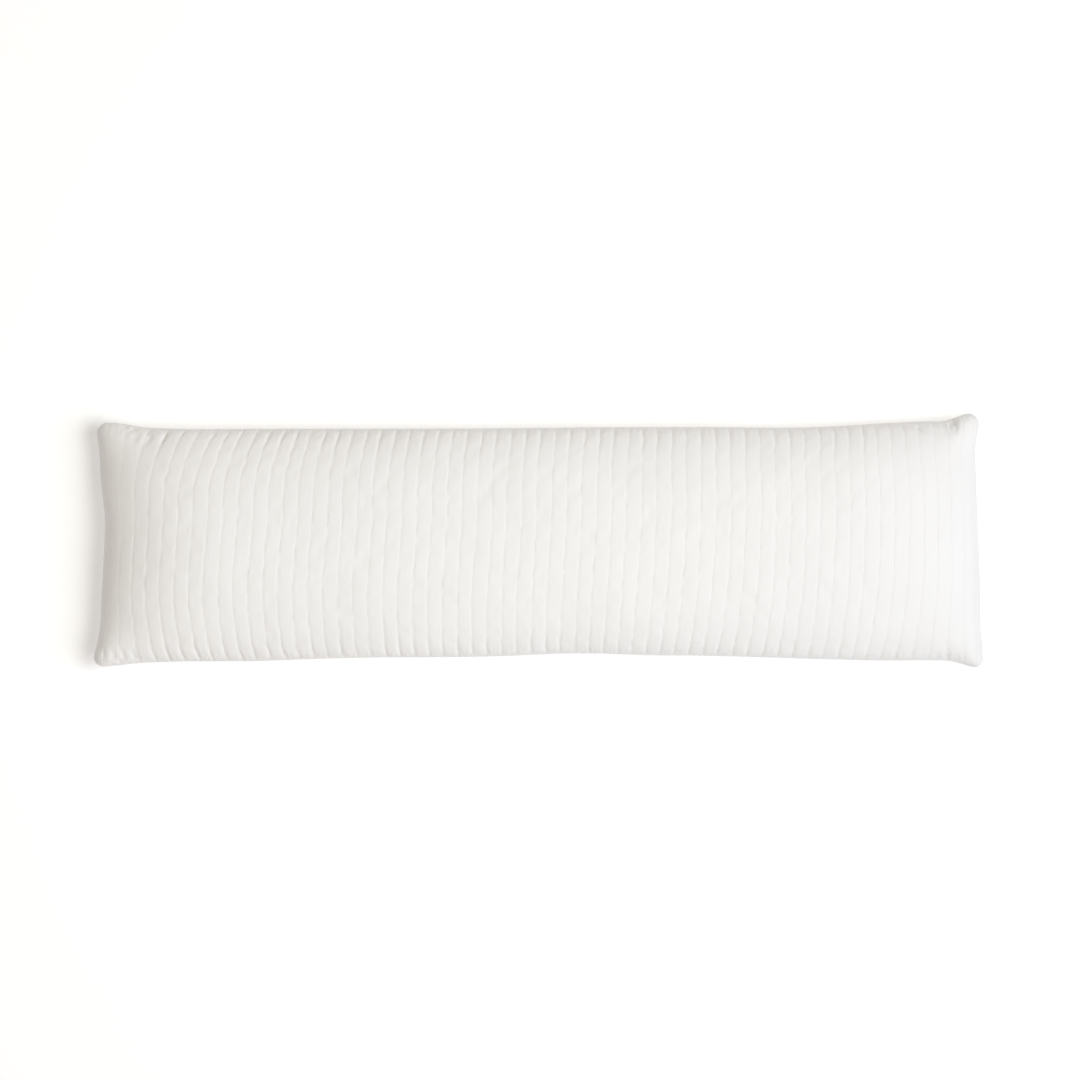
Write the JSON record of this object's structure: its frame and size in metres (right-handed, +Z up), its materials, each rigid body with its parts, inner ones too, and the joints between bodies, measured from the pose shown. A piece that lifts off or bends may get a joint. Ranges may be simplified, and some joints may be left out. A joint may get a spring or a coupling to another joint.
{
  "type": "body pillow",
  "caption": "Long rectangular body pillow with channels quilted across its width, drawn-in sides and soft stuffed corners, lying on its back to support a sleeper's side.",
  "frame": {"origin": "under the middle of the pillow, on the surface that it lies on", "axes": "+X along the length, +Y across the width, +Z up through the upper panel"},
  "size_m": [1.2708, 0.362, 0.126],
  "materials": {
    "quilted_cloth": "soft brushed white cloth, channel quilted, matt with a faint sheen"
  },
  "bodies": {
    "root": {"pillow": "quilted_cloth"}
  },
  "joints": []
}
